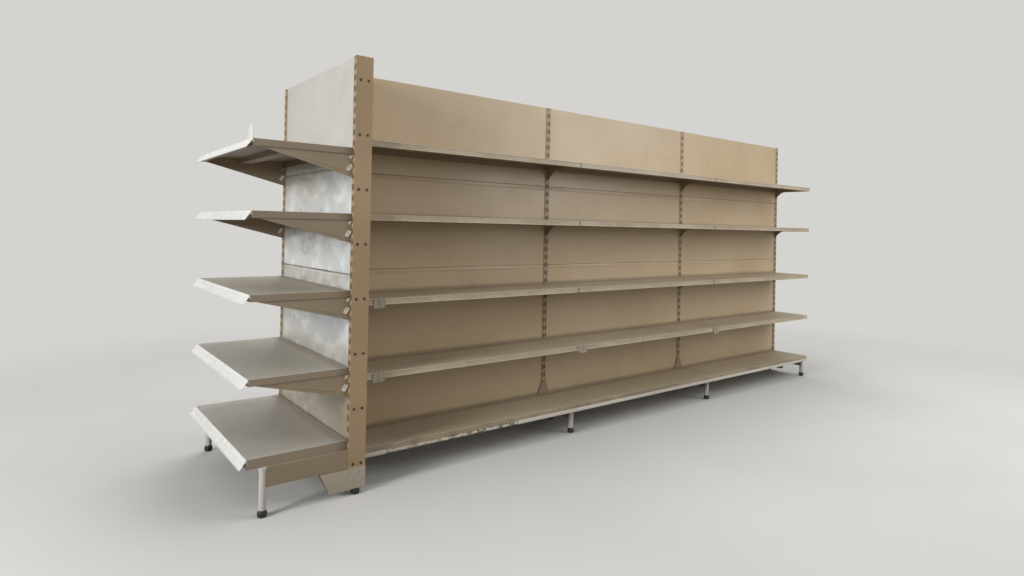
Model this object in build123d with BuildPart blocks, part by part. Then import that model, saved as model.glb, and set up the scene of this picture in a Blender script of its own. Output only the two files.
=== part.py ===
from build123d import *
import os
from math import cos, radians, sin

os.makedirs("parts", exist_ok=True)

# A double-sided run of slotted-post shelving with a wider shelving unit across its near end.
# Millimetres. +X runs along the shelving away from the end unit, -Y is the front, +Z is up.
# The origin is on the floor, at the middle of the whole outline.

# Bays and overall height
bay_length = 1330.0
bay_count = 3
end_bay_length = 1000.0
top_height = 2000.0

# Depth of the shelves, from the face of the post to the front of a flat price rail
front_depth = 320.0
back_depth = 450.0
end_depth = 430.0

# How far the front shelves stand back from the side of the end unit
front_setback = 50.0

# Posts: rectangular tube, slots in both narrow faces and paired holes through the broad faces
post_depth = 80.0
post_width = 30.0
post_wall = 2.0
slot_pitch = 50.0
slot_height = 22.0
slot_width = 5.0
slot_row_spacing = 14.0
lowest_slot = 3
pair_pitch = 250.0
pair_spacing = 38.0
pair_radius = 5.0
highest_pair_below_top = 110.0

# Shelf places, as slot numbers counted from the floor, and the drop from shelf top to its upper hook
run_slots = (10, 17, 25, 32)
end_slots = (11, 18, 25, 31)
hook_drop = 30.0

# Sheet parts
sheet = 1.0
bend_radius = 2.0
shelf_fold = 30.0
shelf_lip = 12.0
shelf_joint = 2.0
shelf_back_gap = 1.0
stiffener_width = 60.0
stiffener_height = 25.0
stiffened_depth = 400.0
stiffener_play = 2.0
panel_fold = 18.0
panel_recess = 5.0
panel_joint = 2.0
panel_seams = (500.0, 1000.0, 1500.0)
panel_shoe_gap = 1.0

# Shelf brackets
bracket_sheet = 2.0
deep_bracket_drop = 135.0
slim_bracket_drop = 94.0
gusset_reach = 90.0
gusset_middle = (33.0, 54.0)
bracket_front_gap = 14.0
hook_neck = 16.0
hook_play = 0.5
bracket_notch_play = 0.5
hook_tip = 2.0
hook_lap = 6.0

# Price rails: a shallow channel with a lip along each edge, upright on the run, tilted on the end unit
rail_depth = 4.0
rail_back = 1.5
rail_lip = 2.5
run_rail_height = 28.0
end_rail_height = 47.0
end_rail_tilt = 36.0
end_rail_flange = 18.0
edge_strip_height = 20.0
edge_strip_depth = 3.0

# Base
run_base_top = 180.0
end_base_top = 250.0
base_fold = 43.0
beam_width = 26.0
beam_wall = 2.0
run_beam_height = 50.0
end_beam_height = 82.0
run_leg_setback = 50.0
end_leg_setback = 68.0
leg_diameter = 30.0
leg_wall = 2.0

# Rubber feet and the shoes that hold the posts
foot_height = 30.0
foot_diameter = 40.0
foot_flat_diameter = 30.0
foot_shoulder = 8.0
shoe_sheet = 2.0
shoe_reach = 130.0
shoe_toe = 84.0
shoe_top = 124.0
skirt_sheet = 2.0
skirt_height = 75.0
skirt_foot_width = 90.0
skirt_head_width = 34.0

# Tie bars between the posts
tie_height = 40.0
tie_depth = 20.0
tie_wall = 1.5
tie_shoe_gap = 6.0
tie_top_gap = 40.0

# Upright plate on the price rail of the end unit's top shelf, at its near corner
tab_foot_width = 96.0
tab_head_width = 64.0
tab_height = 57.0
tab_sheet = 3.0

# Places worked out from the sizes above
end_outer = end_bay_length + post_width
far_overhang = max(post_width, foot_diameter) / 2
end_rail_head = rail_depth * cos(radians(end_rail_tilt))
end_rail_sink = rail_depth * sin(radians(end_rail_tilt))
end_reach = end_depth - rail_depth + end_rail_head + end_rail_height * sin(radians(end_rail_tilt))
total_length = end_reach + post_depth + post_width / 2 + bay_count * bay_length + far_overhang
end_face_x = end_reach - total_length / 2
end_back_x = end_face_x + post_depth
run_y = front_setback + front_depth + post_depth / 2 - end_outer / 2
post_xs = [end_back_x + post_width / 2 + n * bay_length for n in range(bay_count + 1)]
bay_xs = [x + bay_length / 2 for x in post_xs[:-1]]
front_face_y = run_y - post_depth / 2
back_face_y = run_y + post_depth / 2
shoe_floor = foot_height + shoe_sheet
post_length = top_height - shoe_floor
run_levels = [n * slot_pitch + hook_drop for n in run_slots]
end_levels = [n * slot_pitch + hook_drop for n in end_slots]
panel_edges = [shoe_top + panel_shoe_gap, *panel_seams, top_height]
tie_places = (shoe_top + tie_shoe_gap + tie_height / 2, top_height - tie_top_gap - tie_height / 2)
end_post_x = end_face_x + post_depth / 2
end_post_ys = (-end_bay_length / 2, end_bay_length / 2)
end_leg_x = end_face_x - end_depth + end_leg_setback
run_leg_ys = (
    front_face_y - front_depth + run_leg_setback,
    back_face_y + back_depth - run_leg_setback,
)
run_beam_top = run_base_top - base_fold
end_beam_top = end_base_top - base_fold


def save(part, name):
    """Labels a finished piece and writes its STEP file."""
    part.label = name
    export_step(part, f"parts/{name}.step")


def placed(part, places, turn=0.0):
    """Copies one part to each place, turned about the vertical."""
    with BuildPart() as copies:
        with Locations(*[Location(place, (0, 0, turn)) for place in places]):
            add(part)
    return copies.part


def make_post():
    """One post, its slotted faces towards -Y and +Y."""
    slot_count = int(top_height / slot_pitch) - lowest_slot
    slots_middle = (lowest_slot + (slot_count - 1) / 2) * slot_pitch
    highest_pair = top_height - highest_pair_below_top
    pair_count = int((highest_pair - shoe_floor) / pair_pitch) + 1
    pairs_middle = highest_pair - (pair_count - 1) * pair_pitch / 2
    with BuildPart() as post:
        with BuildSketch(Plane.XY.offset(shoe_floor)):
            Rectangle(post_width, post_depth)
            Rectangle(post_width - 2 * post_wall, post_depth - 2 * post_wall, mode=Mode.SUBTRACT)
        extrude(amount=post_length)
        with BuildSketch(Plane.XZ):
            with Locations((0, slots_middle)):
                with GridLocations(slot_row_spacing, slot_pitch, 2, slot_count):
                    Rectangle(slot_width, slot_height)
        extrude(amount=post_depth, both=True, mode=Mode.SUBTRACT)
        with BuildSketch(Plane.YZ):
            with Locations((0, pairs_middle)):
                with GridLocations(pair_spacing, pair_pitch, 2, pair_count):
                    Circle(pair_radius)
        extrude(amount=post_width, both=True, mode=Mode.SUBTRACT)
    return post.part


def make_panels(length, recess):
    """A column of folded back panels, with their faces towards -Y."""
    with BuildPart() as panels:
        for low, high in zip(panel_edges[:-1], panel_edges[1:]):
            bottom = low + panel_joint / 2
            top = high if high == top_height else high - panel_joint / 2
            face = Plane.XZ.offset(-recess)
            with BuildSketch(face):
                with Locations((0, (bottom + top) / 2)):
                    Rectangle(length, top - bottom)
            extrude(amount=-panel_fold)
            with BuildSketch(face.offset(-sheet)):
                with Locations((0, (bottom + top) / 2)):
                    Rectangle(length - 2 * sheet, top - bottom - 2 * sheet)
            extrude(amount=-panel_fold, mode=Mode.SUBTRACT)
    return panels.part


def make_tray(length, depth, fold):
    """One folded shelf, its top at Z zero and its rear edge near Y zero, with the front towards -Y."""
    front = -depth + rail_depth
    rear = -shelf_back_gap
    with BuildPart() as tray:
        with BuildSketch(Plane.XY):
            with Locations((0, (front + rear) / 2)):
                Rectangle(length, rear - front)
        extrude(amount=-fold)
        fillet(tray.faces().sort_by(Axis.Z)[-1].edges(), bend_radius)
        with BuildSketch(Plane.XY.offset(-sheet)):
            with Locations((0, (front + rear) / 2)):
                Rectangle(length - 2 * sheet, rear - front - 2 * sheet)
        extrude(amount=-(fold - 2 * sheet), mode=Mode.SUBTRACT)
        with BuildSketch(Plane.XY.offset(-fold)):
            with Locations((0, (front + shelf_lip + rear) / 2)):
                Rectangle(length - 2 * sheet, rear - front - shelf_lip - 2 * sheet)
        extrude(amount=sheet, mode=Mode.SUBTRACT)
        if depth > stiffened_depth:
            bracket_inset = (slot_row_spacing + bracket_sheet - shelf_joint) / 2
            with BuildSketch(Plane.XY.offset(-sheet)):
                with Locations((0, (front + rear) / 2)):
                    Rectangle(length - 2 * (bracket_inset + stiffener_play), stiffener_width)
            extrude(amount=-stiffener_height)
            with BuildSketch(Plane.XY.offset(-sheet)):
                with Locations((0, (front + rear) / 2)):
                    Rectangle(length - 2 * sheet, stiffener_width - 2 * sheet)
            extrude(amount=-(stiffener_height - sheet), mode=Mode.SUBTRACT)
    return tray.part


def make_bracket(depth):
    """One shelf bracket in the plane X zero, its rear edge on the face of the post at Y zero."""
    front = -(depth - rail_depth - sheet - bracket_front_gap)
    lip_top = -(shelf_fold - 2 * sheet)
    notch = -(shelf_back_gap + sheet + bracket_notch_play)
    notch_top = -(shelf_fold + bracket_notch_play)
    tip = post_wall + hook_play
    with BuildPart() as bracket:
        with BuildSketch(Plane.YZ.offset(-bracket_sheet / 2)):
            with BuildLine():
                Polyline((0, notch_top), (notch, notch_top), (notch, -sheet), (front, -sheet), (front, lip_top))
                if depth > stiffened_depth:
                    Polyline((front, lip_top), (0, -deep_bracket_drop), (0, notch_top))
                else:
                    gusset_front = (-gusset_reach, lip_top)
                    gusset_foot = (0, -slim_bracket_drop)
                    Line((front, lip_top), gusset_front)
                    ThreePointArc(gusset_front, (-gusset_middle[0], -gusset_middle[1]), gusset_foot)
                    Line(gusset_foot, (0, notch_top))
            make_face()
            for drop in (hook_drop, hook_drop + slot_pitch):
                neck_foot = -drop - slot_height / 2
                with Locations((tip + hook_tip, neck_foot)):
                    Rectangle(tip + hook_tip, hook_neck, align=(Align.MAX, Align.MIN))
                with Locations((tip, neck_foot - hook_lap)):
                    Rectangle(hook_tip, hook_lap + hook_neck, align=(Align.MIN, Align.MIN))
        extrude(amount=bracket_sheet)
    return bracket.part


def draw_channel(height):
    """The section of a price rail in the sketch at hand, its upper rear corner at the sketch's place."""
    Rectangle(rail_depth, height, align=(Align.MAX, Align.MAX))
    with Locations((-rail_back, -rail_lip)):
        Rectangle(rail_depth, height - 2 * rail_lip, align=(Align.MAX, Align.MAX), mode=Mode.SUBTRACT)


def make_rail(length, depth):
    """One upright price rail on the front of a run shelf, its upper edge at Z zero."""
    with BuildPart() as rail:
        with BuildSketch(Plane.YZ.offset(-length / 2)):
            with Locations((-depth + rail_depth, 0)):
                draw_channel(run_rail_height)
        extrude(amount=length)
    return rail.part


def make_tilted_rail(length, depth):
    """One price rail of the end unit, its upper edge at Z zero, its foot tilted out from the shelf."""
    back = -depth + rail_depth
    with BuildPart() as rail:
        with BuildSketch(Plane.YZ.offset(-length / 2)):
            with Locations(Location((back, -end_rail_sink, 0), (0, 0, -end_rail_tilt))):
                draw_channel(end_rail_height)
            with Locations((back, 0)):
                Rectangle(end_rail_head, end_rail_sink, align=(Align.MAX, Align.MAX))
                Rectangle(rail_back, end_rail_flange, align=(Align.MAX, Align.MAX))
        extrude(amount=length)
    return rail.part


def make_beam(depth, leg_setback, top, height):
    """One base beam, open below, from the face of the post to the leg, which it is cut round."""
    reach = depth - leg_setback
    with BuildPart() as beam:
        with BuildSketch(Plane.XY.offset(top - height)):
            Rectangle(beam_width, reach, align=(Align.CENTER, Align.MAX))
        extrude(amount=height)
        with BuildSketch(Plane.XY.offset(top - height)):
            Rectangle(beam_width - 2 * beam_wall, reach, align=(Align.CENTER, Align.MAX))
        extrude(amount=height - beam_wall, mode=Mode.SUBTRACT)
        with BuildSketch(Plane.XY.offset(top - height)):
            with Locations((0, -reach)):
                Circle(leg_diameter / 2)
        extrude(amount=height, mode=Mode.SUBTRACT)
    return beam.part


def make_leg(top):
    """One round leg, from its rubber foot up to the top of a base beam."""
    with BuildPart() as leg:
        with BuildSketch(Plane.XY.offset(foot_height)):
            Circle(leg_diameter / 2)
            Circle(leg_diameter / 2 - leg_wall, mode=Mode.SUBTRACT)
        extrude(amount=top - foot_height)
    return leg.part


def make_foot():
    """One rubber foot on the floor, narrower at its two flats than between them."""
    flat = foot_flat_diameter / 2
    belly = foot_diameter / 2
    with BuildPart() as foot:
        with BuildSketch(Plane.XZ):
            with BuildLine():
                Polyline(
                    (0, 0),
                    (flat, 0),
                    (belly, foot_shoulder),
                    (belly, foot_height - foot_shoulder),
                    (flat, foot_height),
                    (0, foot_height),
                    close=True,
                )
            make_face()
        revolve(axis=Axis.Z)
    return foot.part


def make_shoe(both_sides):
    """The folded shoe that a post stands in, with a gusset towards -Y, or both ways."""
    rear = post_depth / 2
    with BuildPart() as shoe:
        with BuildSketch(Plane.YZ.offset(-post_width / 2 - shoe_sheet)):
            with BuildLine():
                Polyline(
                    (rear, foot_height),
                    (-rear - shoe_toe, foot_height),
                    (-rear - shoe_reach, shoe_top),
                    (rear, shoe_top),
                    close=True,
                )
            make_face()
            if both_sides:
                mirror(about=Plane.YZ)
        extrude(amount=post_width + 2 * shoe_sheet)
        with BuildSketch(Plane.XY.offset(shoe_floor)):
            Rectangle(post_width, 2 * (post_depth + shoe_reach))
        extrude(amount=shoe_top, mode=Mode.SUBTRACT)
    return shoe.part


def make_skirts():
    """The plates at the foot of a post, just above the base shelves, on both of its slotted faces."""
    with BuildPart() as skirts:
        with BuildSketch(Plane.XZ.offset(post_depth / 2)):
            with BuildLine():
                Polyline(
                    (-skirt_foot_width / 2, run_base_top),
                    (skirt_foot_width / 2, run_base_top),
                    (skirt_head_width / 2, run_base_top + skirt_height),
                    (-skirt_head_width / 2, run_base_top + skirt_height),
                    close=True,
                )
            make_face()
        extrude(amount=skirt_sheet)
        mirror(about=Plane.XZ)
    return skirts.part


def make_ties(length):
    """The tie bars between two posts, along X."""
    with BuildPart() as ties:
        with BuildSketch(Plane.YZ.offset(-length / 2)):
            with Locations(*[(0, place) for place in tie_places]):
                Rectangle(tie_depth, tie_height)
                Rectangle(tie_depth - 2 * tie_wall, tie_height - 2 * tie_wall, mode=Mode.SUBTRACT)
        extrude(amount=length)
    return ties.part


# Posts
post = make_post()
run_post_places = [(x, run_y, 0) for x in post_xs]
end_post_places = [(end_post_x, y, 0) for y in end_post_ys]
for number, place in enumerate(run_post_places, start=1):
    save(placed(post, [place]), f"post_{number}")
for name, place in zip(("near", "far"), end_post_places):
    save(placed(post, [place], 90), f"end_post_{name}")

# Shoes, skirts, legs and feet under and beside the posts
run_leg_places = [(x, y, 0) for y in run_leg_ys for x in post_xs]
end_leg_places = [(end_leg_x, y, 0) for y in end_post_ys]
foot = make_foot()
save(placed(make_shoe(True), run_post_places), "post_shoes")
save(placed(make_shoe(False), end_post_places, -90), "end_post_shoes")
save(placed(make_skirts(), run_post_places[1:-1]), "post_skirts")
save(placed(make_leg(run_beam_top), run_leg_places), "run_legs")
save(placed(make_leg(end_beam_top), end_leg_places), "end_legs")
save(placed(foot, run_leg_places + run_post_places), "run_feet")
save(placed(foot, end_leg_places + end_post_places), "end_feet")

# Tie bars
save(placed(make_ties(bay_length - post_width), [(x, run_y, 0) for x in bay_xs]), "tie_bars")
save(placed(make_ties(end_bay_length - post_width), [(end_post_x, 0, 0)], 90), "end_tie_bars")

# The two sides of the run: name, depth, face of the posts and turn
for side, depth, face_y, turn in (
    ("front", front_depth, front_face_y, 0.0),
    ("back", back_depth, back_face_y, 180.0),
):
    panels = make_panels(bay_length - post_width, panel_recess)
    tray = make_tray(bay_length - shelf_joint, depth, shelf_fold)
    base_tray = make_tray(bay_length - shelf_joint, depth - edge_strip_depth + rail_depth, base_fold)
    bracket = make_bracket(depth)
    rail = make_rail(bay_length - shelf_joint, depth)
    beam = make_beam(depth, run_leg_setback, run_beam_top, run_beam_height)
    with BuildPart() as strip:
        with BuildSketch(Plane.XZ.offset(depth - edge_strip_depth)):
            with Locations((0, run_beam_top)):
                Rectangle(bay_length - shelf_joint, edge_strip_height, align=(Align.CENTER, Align.MIN))
        extrude(amount=edge_strip_depth)
    bay_places = [(x, face_y, 0) for x in bay_xs]
    rail_places = [(x, face_y, level) for x in bay_xs for level in run_levels]
    bracket_shift = (bay_length - slot_row_spacing) / 2
    bracket_places = [
        (x + shift, y, level) for x, y, level in rail_places for shift in (-bracket_shift, bracket_shift)
    ]
    for number, x in enumerate(bay_xs, start=1):
        save(placed(panels, [(x, face_y, 0)], turn), f"{side}_panels_bay_{number}")
        save(placed(tray, [(x, face_y, level) for level in run_levels], turn), f"{side}_shelves_bay_{number}")
    save(placed(rail, rail_places, turn), f"{side}_price_rails")
    save(placed(bracket, bracket_places, turn), f"{side}_brackets")
    save(placed(base_tray, [(x, face_y, run_base_top) for x in bay_xs], turn), f"{side}_base_shelves")
    save(placed(strip.part, bay_places, turn), f"{side}_edge_strips")
    save(placed(beam, [(x, face_y, 0) for x in post_xs], turn), f"{side}_base_beams")

# The end unit
end_panels = make_panels(end_bay_length - post_width, panel_recess)
rear_panels = make_panels(end_bay_length - post_width, 0.0)
end_tray = make_tray(end_bay_length - shelf_joint, end_depth, shelf_fold)
end_base_tray = make_tray(end_bay_length - shelf_joint, end_depth, base_fold)
end_bracket = make_bracket(end_depth)
end_rail = make_tilted_rail(end_bay_length - shelf_joint, end_depth)
end_beam = make_beam(end_depth, end_leg_setback, end_beam_top, end_beam_height)
end_shelf_places = [(end_face_x, 0, level) for level in end_levels]
end_base_place = (end_face_x, 0, end_base_top)
end_bracket_y = (end_bay_length - slot_row_spacing) / 2
end_bracket_places = [(end_face_x, y, level) for y in (-end_bracket_y, end_bracket_y) for level in end_levels]
save(placed(end_panels, [(end_face_x, 0, 0)], -90), "end_panels")
save(placed(rear_panels, [(end_back_x, 0, 0)], 90), "end_rear_panels")
save(placed(end_tray, end_shelf_places, -90), "end_shelves")
save(placed(end_base_tray, [end_base_place], -90), "end_base_shelf")
save(placed(end_bracket, end_bracket_places, -90), "end_brackets")
save(placed(end_rail, [*end_shelf_places, end_base_place], -90), "end_price_rails")
save(placed(end_beam, [(end_face_x, y, 0) for y in end_post_ys], -90), "end_base_beams")
with BuildPart() as corner_tab:
    near = -(end_bay_length - shelf_joint) / 2
    top_level = end_levels[-1]
    with BuildSketch(Plane.YZ.offset(end_face_x - end_depth + rail_depth - tab_sheet)):
        with BuildLine():
            Polyline(
                (near, top_level),
                (near + tab_foot_width, top_level),
                (near + tab_head_width, top_level + tab_height),
                (near, top_level + tab_height),
                close=True,
            )
        make_face()
    extrude(amount=tab_sheet)
save(corner_tab.part, "end_corner_tab")
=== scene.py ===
"""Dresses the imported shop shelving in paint, plastic, fixings and wear, and sets its camera and light.

Lengths are in metres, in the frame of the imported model: +X runs along the shelving away from the end unit,
-Y is the front, +Z is up, and the origin is on the floor at the middle of the outline.
"""

from __future__ import annotations

import logging
import math
import random
from collections.abc import Callable, Sequence
from dataclasses import dataclass
from enum import Enum

import bmesh
import bpy
from mathutils import Matrix, Vector

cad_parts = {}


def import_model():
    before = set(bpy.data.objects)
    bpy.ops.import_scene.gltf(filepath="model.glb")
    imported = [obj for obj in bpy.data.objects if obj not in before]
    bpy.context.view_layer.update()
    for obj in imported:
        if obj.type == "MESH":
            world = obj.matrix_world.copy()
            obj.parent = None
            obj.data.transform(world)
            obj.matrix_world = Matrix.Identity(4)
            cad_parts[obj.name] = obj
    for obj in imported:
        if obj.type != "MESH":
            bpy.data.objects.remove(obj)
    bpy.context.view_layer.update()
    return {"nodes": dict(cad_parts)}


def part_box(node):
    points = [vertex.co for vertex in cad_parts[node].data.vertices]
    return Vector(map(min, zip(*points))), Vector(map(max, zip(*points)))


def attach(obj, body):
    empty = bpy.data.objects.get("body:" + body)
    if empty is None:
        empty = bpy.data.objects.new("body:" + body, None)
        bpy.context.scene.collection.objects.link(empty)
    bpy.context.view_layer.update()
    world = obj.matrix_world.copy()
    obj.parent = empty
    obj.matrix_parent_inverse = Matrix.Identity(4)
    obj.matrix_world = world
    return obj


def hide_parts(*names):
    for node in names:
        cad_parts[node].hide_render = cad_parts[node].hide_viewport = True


LOG = logging.getLogger("shelving")
ROOT = "root"

Triple = tuple[float, float, float]
Rings = tuple[tuple[float, float], ...]
Test = Callable[[Vector], bool]


def srgb(*levels: int) -> Triple:
    """Turns eight-bit sRGB levels into the linear colour that a shader takes."""
    shares = [level / 255 for level in levels]
    return tuple(share / 12.92 if share <= 0.04045 else ((share + 0.055) / 1.055) ** 2.4 for share in shares)


# Shader maths


class Wire:
    """One output socket, on which Python's operators add Math nodes."""

    def __init__(self, board: Board, socket: bpy.types.NodeSocket) -> None:
        """Keeps the socket and the board that its node is on."""
        self.board = board
        self.socket = socket

    def sibling(self, name: str) -> Wire:
        """Gives another output of the same node."""
        return Wire(self.board, self.socket.node.outputs[name])

    def math(self, operation: str, *terms: Term) -> Wire:
        """Adds one Math node with these terms in its sockets, in order."""
        return self.board.add("Math", dict(enumerate(terms)), operation=operation)

    def __add__(self, other: Term) -> Wire:
        """Adds."""
        return self.math("ADD", self, other)

    def __sub__(self, other: Term) -> Wire:
        """Takes away."""
        return self.math("SUBTRACT", self, other)

    def __rsub__(self, other: Term) -> Wire:
        """Takes this away from a number."""
        return self.math("SUBTRACT", other, self)

    def __mul__(self, other: Term) -> Wire:
        """Multiplies."""
        return self.math("MULTIPLY", self, other)

    def __abs__(self) -> Wire:
        """Drops the sign."""
        return self.math("ABSOLUTE", self)

    __radd__ = __add__
    __rmul__ = __mul__

    def larger(self, other: Term) -> Wire:
        """Gives the larger of the two."""
        return self.math("MAXIMUM", self, other)

    def wrapped(self, period: float) -> Wire:
        """Gives the distance to the nearest multiple of a period, with its sign."""
        return self.math("WRAP", self, -period / 2, period / 2)

    def rise(self, low: float, high: float) -> Wire:
        """Climbs smoothly from 0 at one value to 1 at another."""
        sockets = {"Value": self, "From Min": low, "From Max": high}
        return self.board.add("MapRange", sockets, interpolation_type="SMOOTHSTEP")

    def fall(self, low: float, high: float) -> Wire:
        """Drops smoothly from 1 at one value to 0 at another."""
        return 1.0 - self.rise(low, high)

    def band(self, middle: float, half_width: float, soft: float) -> Wire:
        """Is 1 within a band, and fades to 0 over a soft width on both sides of it."""
        return abs(self - middle).fall(half_width, half_width + soft)


Term = Wire | float


class Board:
    """The node tree of a material or of the world, with the colour that is painted on it so far."""

    def __init__(self, owner: bpy.types.Material | bpy.types.World, colour: Triple) -> None:
        """Empties the owner's node tree, and starts from an even colour.

        Args:
            owner: The material or world.
            colour: The even colour.
        """
        owner.use_nodes = True
        self.tree = owner.node_tree
        self.tree.nodes.clear()
        self.colour: Wire | Triple = colour
        self.place = self.add("TexCoord").sibling("Object")
        self.x = self.add("SeparateXYZ", {"Vector": self.place})
        self.y = self.x.sibling("Y")
        self.z = self.x.sibling("Z")

    def add(
        self,
        kind: str,
        sockets: dict[str | int, object] | None = None,
        output: int = 0,
        **settings: object,
    ) -> Wire:
        """Adds a node of any kind.

        Args:
            kind: The node's type, without the ShaderNode before it.
            sockets: Values or wires for its inputs.
            output: Which output to give.
            settings: Its properties, which are set first.

        Returns:
            That output.
        """
        node = self.tree.nodes.new(f"ShaderNode{kind}")
        for name, value in settings.items():
            setattr(node, name, value)
        for key, value in (sockets or {}).items():
            socket = node.inputs[key]
            if isinstance(value, Wire):
                self.tree.links.new(value.socket, socket)
            else:
                socket.default_value = (*value, 1.0) if socket.type == "RGBA" else value
        return Wire(self, node.outputs[output])

    def noise(
        self,
        scale: float,
        detail: float = 3.0,
        stretch: Triple = (1.0, 1.0, 1.0),
        bend: float = 0.0,
        shift: float = 0.0,
    ) -> Wire:
        """Adds a noise, about 0.5 on average, with so many features to a metre and finer layers."""
        placed = self.add("Mapping", {"Vector": self.place, "Location": (shift,) * 3, "Scale": stretch})
        return self.add("TexNoise", {"Vector": placed, "Scale": scale, "Detail": detail, "Distortion": bend})

    def mix(self, share: Term, first: Wire | Triple, second: Wire | Triple) -> Wire:
        """Mixes two colours, of which the second has this share."""
        return self.add("Mix", {0: share, 6: first, 7: second}, 2, data_type="RGBA")

    def coat(self, share: Term, tone: Triple) -> None:
        """Lays a share of a tone over the colour so far."""
        self.colour = self.mix(share, self.colour, tone)

    def facing_up(self) -> Wire:
        """Is 1 on surfaces that face up and 0 on walls."""
        normal = self.add("NewGeometry").sibling("Normal")
        return self.add("SeparateXYZ", {"Vector": normal}).sibling("Z").rise(0.55, 0.95)

    def seen(self) -> Wire:
        """Is 1 for rays from the camera and in reflections, and 0 for light that surfaces exchange."""
        path = self.add("LightPath")
        return path.larger(path.sibling("Is Glossy Ray")).larger(path.sibling("Is Transmission Ray"))

    def surface(self, roughness: Term, height: Wire, depth: float, **others: Term) -> None:
        """Ends the board in a Principled shader.

        Args:
            roughness: Its roughness.
            height: The height of its bumps, from 0 to 1.
            depth: What a height of 1 stands for.
            others: More of the shader's sockets.
        """
        normal = self.add("Bump", {"Strength": 1.0, "Distance": depth, "Height": height})
        sockets = {"Base Color": self.colour, "Roughness": roughness, "Normal": normal, **others}
        self.end(self.add("BsdfPrincipled", sockets))

    def end(self, shader: Wire, output: str = "ShaderNodeOutputMaterial") -> None:
        """Joins a shader to the tree's output."""
        self.tree.links.new(shader.socket, self.tree.nodes.new(output).inputs["Surface"])


# Finishes


DUST = srgb(176, 166, 148)
FLOOR_GRIME = srgb(96, 80, 62)
BARE_STEEL = srgb(112, 106, 98)
SCUFF_GREY = srgb(128, 118, 104)


class Scuffs(Enum):
    """Which way the scratches run, as noise factors that are small along them."""

    ALONG_RUN = (0.02, 1.0, 1.0)
    ACROSS_RUN = (1.0, 0.03, 1.0)
    UPRIGHT = (1.0, 1.0, 0.02)


@dataclass(frozen=True)
class Finish:
    """A surface finish in two tones, whose material is made once and then shared."""

    name: str
    colour: Triple
    worn: Triple

    def material(self) -> bpy.types.Material:
        """Gives the finish's material, and paints it if it isn't there yet.

        Returns:
            The material.
        """
        material = bpy.data.materials.get(self.name)
        if material is None:
            material = bpy.data.materials.new(self.name)
            self.paint(Board(material, self.colour))
        return material

    def paint(self, board: Board) -> None:
        """Paints the finish on its board."""
        raise NotImplementedError


@dataclass(frozen=True)
class Enamel(Finish):
    """Stoved enamel on sheet steel, with patches, scuffs, dust and floor grime."""

    roughness: float = 0.42
    scuffs: Scuffs = Scuffs.ALONG_RUN
    scuffing: float = 0.30
    dustiness: float = 0.35
    grime_height: float = 0.35

    def mark(self, board: Board) -> None:
        """Adds the marks that only one kind of piece has."""

    def paint(self, board: Board) -> None:
        """Paints the enamel from its even colour up to the dust.

        Args:
            board: What it is painted on.
        """
        patches = board.noise(1.7, 4.0).rise(0.36, 0.66)
        board.coat(patches * 0.55, self.worn)
        blotches = board.noise(7.0, 4.0, shift=7.0).rise(0.50, 0.85)
        board.coat(blotches * 0.16, SCUFF_GREY)
        lines = board.noise(150.0, 2.0, self.scuffs.value).rise(0.62, 0.74)
        scratched = lines * board.noise(3.2, 2.0, shift=3.0).rise(0.46, 0.66)
        board.coat(scratched * self.scuffing, SCUFF_GREY)
        self.mark(board)
        drips = board.noise(9.0, 4.0, (1.0, 1.0, 0.45), shift=11.0).rise(0.35, 0.75)
        grimy = board.z.fall(0.0, self.grime_height) * (0.35 + drips * 0.65)
        board.coat(grimy * 0.30, FLOOR_GRIME)
        specks = board.noise(60.0, 4.0, shift=5.0).rise(0.40, 0.72)
        dusty = board.facing_up() * (0.35 + specks * 0.65)
        board.coat(dusty * self.dustiness, DUST)
        roughness = self.roughness + scratched * 0.12 + dusty * 0.22 + patches * 0.05
        dents = board.noise(650.0, 1.0) * 0.06 + board.noise(5.0, 1.0, shift=13.0)
        board.surface(roughness, dents, 0.0016)


@dataclass(frozen=True)
class PostEnamel(Enamel):
    """The enamel of a slotted post, rubbed bare where hooks have gone in and out, and darkened along its
    rows of slots with dirt and painted shade.

    The rows of slots are beside each post's middle line. A run post finds that line by the pitch of the
    bays, and an end post, which has no pitch, by its distance to the middle of the end unit.
    """

    scuffs: Scuffs = Scuffs.UPRIGHT
    first_line: float = 0.0
    line_pitch: float | None = None
    row_shift: float = 0.007
    slot_pitch: float = 0.050
    slot_half_width: float = 0.0025
    slot_half_height: float = 0.011
    # Shares of the dirt and painted shade along the rows of slots.
    rim_dirt: float = 0.40
    rim_film: float = 0.34
    holes_at: float | None = None
    hole_shift: float = 0.019
    hole_pitch: float = 0.250
    hole_level: float = 0.140

    def mark(self, board: Board) -> None:
        """Rubs the paint off round the slots, most of all at their lower ends, darkens the rows of slots
        with dirt and painted shade, and rings the holes.

        Args:
            board: What it is painted on.
        """
        if self.line_pitch:
            across = (board.x - self.first_line).wrapped(self.line_pitch)
        else:
            across = abs(board.y) - self.first_line
        ragged = board.noise(240.0, 3.0, shift=2.0) * 0.004 - 0.002
        beside = abs(abs(across) - self.row_shift) + ragged
        height = board.z.wrapped(self.slot_pitch) + ragged
        foot = height.band(-self.slot_half_height, 0.0022, 0.0020)
        sides = height.band(0.0, self.slot_half_height, 0.0015) * 0.45
        used = board.noise(7.0, 2.0, shift=19.0).rise(0.38, 0.62) * 0.6 + 0.25
        width = beside.fall(self.slot_half_width + 0.0006, self.slot_half_width + 0.0022)
        board.coat(width * foot.larger(sides) * used, BARE_STEEL)
        # Dirt and painted shade: a dark band along each row of slots, denser beside the slots, so the post's
        # face reads as in shade.
        dots = height.band(0.0, self.slot_half_height, 0.008)
        board.coat(beside.fall(0.0035, 0.0085) * (dots * self.rim_dirt + self.rim_film), FLOOR_GRIME)
        if self.holes_at is not None:
            aside = abs(board.x - self.holes_at) - self.hole_shift
            up = (board.z - self.hole_level).wrapped(self.hole_pitch)
            board.coat((aside * aside + up * up).fall(0.0052**2, 0.0100**2) * 0.75, FLOOR_GRIME)


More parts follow.
